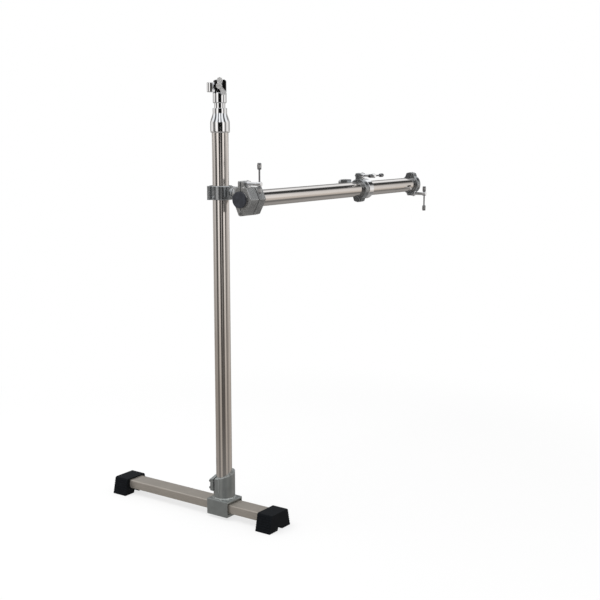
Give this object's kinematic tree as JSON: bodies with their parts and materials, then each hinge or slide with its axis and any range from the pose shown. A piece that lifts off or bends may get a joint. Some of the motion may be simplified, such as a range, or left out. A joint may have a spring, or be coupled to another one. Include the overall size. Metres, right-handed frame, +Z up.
{
  "type": "drum rack",
  "caption": "One-legged drum rack: a flat base tube on rubber feet carries a round post with a rod clamp on top, and a clamped round arm with hinged clamps for drum mounts.",
  "frame": {"origin": "on the floor, under the middle of the whole rack's bounding box", "axes": "+Z up along the post, +X along the base tube towards its short end, +Y along the arm away from the post"},
  "size_m": [0.497, 0.81, 1.0359],
  "materials": {
    "stainless": "polished stainless tube",
    "chrome": "chrome plate",
    "cast_grey": "grey satin casting",
    "cast_dark": "dark grey satin casting",
    "rubber": "matt black ribbed rubber",
    "black_plastic": "black plastic",
    "nylon": "dark nylon",
    "screw_steel": "plated steel fastener"
  },
  "bodies": {
    "leg": {"base_tube": "stainless", "foot_left": "rubber", "foot_right": "rubber", "leg_socket": "cast_grey", "socket_cap": "cast_grey", "socket_cap_screws": "screw_steel", "base_lock_screws": "screw_steel"},
    "post": {"post_tube": "stainless", "post_bell": "chrome", "bell_bushing": "nylon"},
    "upper": {"upper_tube": "chrome", "tube_guide": "nylon", "tilter_socket": "chrome", "pivot_bolt": "chrome"},
    "tilter": {"tilter_head": "chrome"},
    "wing": {"tilter_wing": "chrome"},
    "post_clamp": {"post_clamp_back": "cast_dark", "post_clamp_front": "cast_dark", "post_clamp_pin": "screw_steel", "post_clamp_bolt": "screw_steel", "post_clamp_nut": "screw_steel", "swivel_bolt": "screw_steel", "swivel_washer": "black_plastic"},
    "arm_clamp": {"arm_clamp_body": "cast_grey", "arm_clamp_pin": "screw_steel", "arm_clamp_rear_jaw": "cast_grey", "arm_clamp_rear_screw": "screw_steel"},
    "arm_jaw": {"arm_clamp_jaw": "cast_grey"},
    "arm_washer": {"arm_clamp_washer": "chrome"},
    "arm_bolt": {"arm_clamp_bolt": "chrome"},
    "arm_bar": {"arm_clamp_bar": "chrome", "arm_clamp_bar_knobs": "black_plastic"},
    "arm": {"arm_tube": "stainless", "arm_plug_near": "black_plastic", "arm_plug_far": "black_plastic"},
    "collar": {"stop_collar": "chrome", "stop_collar_screw": "screw_steel"},
    "mid_clamp": {"mid_clamp_body": "cast_grey", "mid_clamp_pin": "screw_steel"},
    "mid_jaw": {"mid_clamp_jaw": "cast_grey"},
    "mid_washer": {"mid_clamp_washer": "chrome"},
    "mid_bolt": {"mid_clamp_bolt": "chrome"},
    "mid_bar": {"mid_clamp_bar": "chrome", "mid_clamp_bar_knobs": "black_plastic"},
    "holder": {"rod_holder": "cast_grey"},
    "holder_screw": {"rod_holder_screw": "chrome"},
    "end_clamp": {"end_clamp_body": "cast_grey", "end_clamp_pin": "screw_steel"},
    "end_jaw": {"end_clamp_jaw": "cast_grey"},
    "end_washer": {"end_clamp_washer": "chrome"},
    "end_bolt": {"end_clamp_bolt": "chrome"},
    "end_bar": {"end_clamp_bar": "chrome", "end_clamp_bar_knobs": "black_plastic"}
  },
  "joints": [
    {"name": "post_turn", "type": "hinge", "parent": "leg", "child": "post", "pos_m": [0.0835, -0.364, 0.042], "axis": [0, 0, 1], "continuous": true},
    {"name": "upper_tube_slide", "type": "slide", "parent": "post", "child": "upper", "axis": [0, 0, 1], "range_m": [0, 0.15]},
    {"name": "tilter_tilt", "type": "hinge", "parent": "upper", "child": "tilter", "pos_m": [0.0835, -0.364, 1.017], "axis": [-0.5736, 0.8192, 0], "range_deg": [0, 80]},
    {"name": "tilter_wing_turn", "type": "hinge", "parent": "upper", "child": "wing", "pos_m": [0.0835, -0.364, 1.017], "axis": [-0.5736, 0.8192, 0], "continuous": true},
    {"name": "arm_height", "type": "slide", "parent": "post", "child": "post_clamp", "axis": [0, 0, 1], "range_m": [-0.45, 0.1]},
    {"name": "arm_tilt", "type": "hinge", "parent": "post_clamp", "child": "arm_clamp", "pos_m": [0.1265, -0.364, 0.777], "axis": [1, 0, 0], "range_deg": [-30, 30]},
    {"name": "arm_slide", "type": "slide", "parent": "arm_clamp", "child": "arm", "axis": [0, 1, 0], "range_m": [-0.25, 0.02]},
    {"name": "mid_clamp_slide", "type": "slide", "parent": "arm", "child": "collar", "axis": [0, 1, 0], "range_m": [-0.08, 0.15]},
    {"name": "mid_clamp_turn", "type": "hinge", "parent": "collar", "child": "mid_clamp", "pos_m": [0.1635, 0.1125, 0.765], "axis": [0, 1, 0], "continuous": true},
    {"name": "end_clamp_turn", "type": "hinge", "parent": "arm", "child": "end_clamp", "pos_m": [0.1635, 0.3915, 0.765], "axis": [0, 1, 0], "continuous": true},
    {"name": "rod_holder_swivel", "type": "hinge", "parent": "mid_clamp", "child": "holder", "pos_m": [0.1305, 0.1125, 0.769], "axis": [1, 0, 0], "range_deg": [-90, 90]},
    {"name": "rod_holder_screw_turn", "type": "hinge", "parent": "holder", "child": "holder_screw", "pos_m": [0.1055, 0.1125, 0.781], "axis": [1, 0, 0], "continuous": true},
    {"name": "arm_clamp_bolt_turn", "type": "hinge", "parent": "arm_washer", "child": "arm_bolt", "pos_m": [0.1835, -0.379, 0.8005], "axis": [1, 0, 0], "range_deg": [0, 1440]},
    {"name": "arm_clamp_bolt_feed", "type": "slide", "parent": "arm_clamp", "child": "arm_washer", "axis": [1, 0, 0], "range_m": [0, 0.00505]},
    {"name": "arm_clamp_jaw_open", "type": "hinge", "parent": "arm_clamp", "child": "arm_jaw", "pos_m": [0.1635, -0.379, 0.734], "axis": [0, 1, 0], "range_deg": [0, 3.75]},
    {"name": "arm_clamp_bar_slide", "type": "slide", "parent": "arm_bolt", "child": "arm_bar", "axis": [0, 0, 1], "range_m": [-0.026, 0]},
    {"name": "mid_clamp_bolt_turn", "type": "hinge", "parent": "mid_washer", "child": "mid_bolt", "pos_m": [0.1835, 0.1125, 0.8005], "axis": [1, 0, 0], "range_deg": [0, 1440]},
    {"name": "mid_clamp_bolt_feed", "type": "slide", "parent": "mid_clamp", "child": "mid_washer", "axis": [1, 0, 0], "range_m": [0, 0.00505]},
    {"name": "mid_clamp_jaw_open", "type": "hinge", "parent": "mid_clamp", "child": "mid_jaw", "pos_m": [0.1635, 0.1125, 0.737], "axis": [0, 1, 0], "range_deg": [0, 3.75]},
    {"name": "mid_clamp_bar_slide", "type": "slide", "parent": "mid_bolt", "child": "mid_bar", "axis": [0, 1, 0], "range_m": [-0.026, 0]},
    {"name": "end_clamp_bolt_turn", "type": "hinge", "parent": "end_washer", "child": "end_bolt", "pos_m": [0.1835, 0.3915, 0.7395], "axis": [1, 0, 0], "range_deg": [0, 1440]},
    {"name": "end_clamp_bolt_feed", "type": "slide", "parent": "end_clamp", "child": "end_washer", "axis": [1, 0, 0], "range_m": [0, 0.00505]},
    {"name": "end_clamp_jaw_open", "type": "hinge", "parent": "end_clamp", "child": "end_jaw", "pos_m": [0.1635, 0.3915, 0.793], "axis": [0, -1, 0], "range_deg": [0, 3.75]},
    {"name": "end_clamp_bar_slide", "type": "slide", "parent": "end_bolt", "child": "end_bar", "axis": [0, 0, 1], "range_m": [0, 0.026]}
  ],
  "couplings": [
    {"joint": "arm_clamp_bolt_feed", "follows": "arm_clamp_bolt_turn", "m_per_rad": 0.00019894},
    {"joint": "arm_clamp_jaw_open", "follows": "arm_clamp_bolt_turn", "ratio": 0.0025694},
    {"joint": "mid_clamp_bolt_feed", "follows": "mid_clamp_bolt_turn", "m_per_rad": 0.00019894},
    {"joint": "mid_clamp_jaw_open", "follows": "mid_clamp_bolt_turn", "ratio": 0.0025694},
    {"joint": "end_clamp_bolt_feed", "follows": "end_clamp_bolt_turn", "m_per_rad": 0.00019894},
    {"joint": "end_clamp_jaw_open", "follows": "end_clamp_bolt_turn", "ratio": 0.0025694}
  ]
}
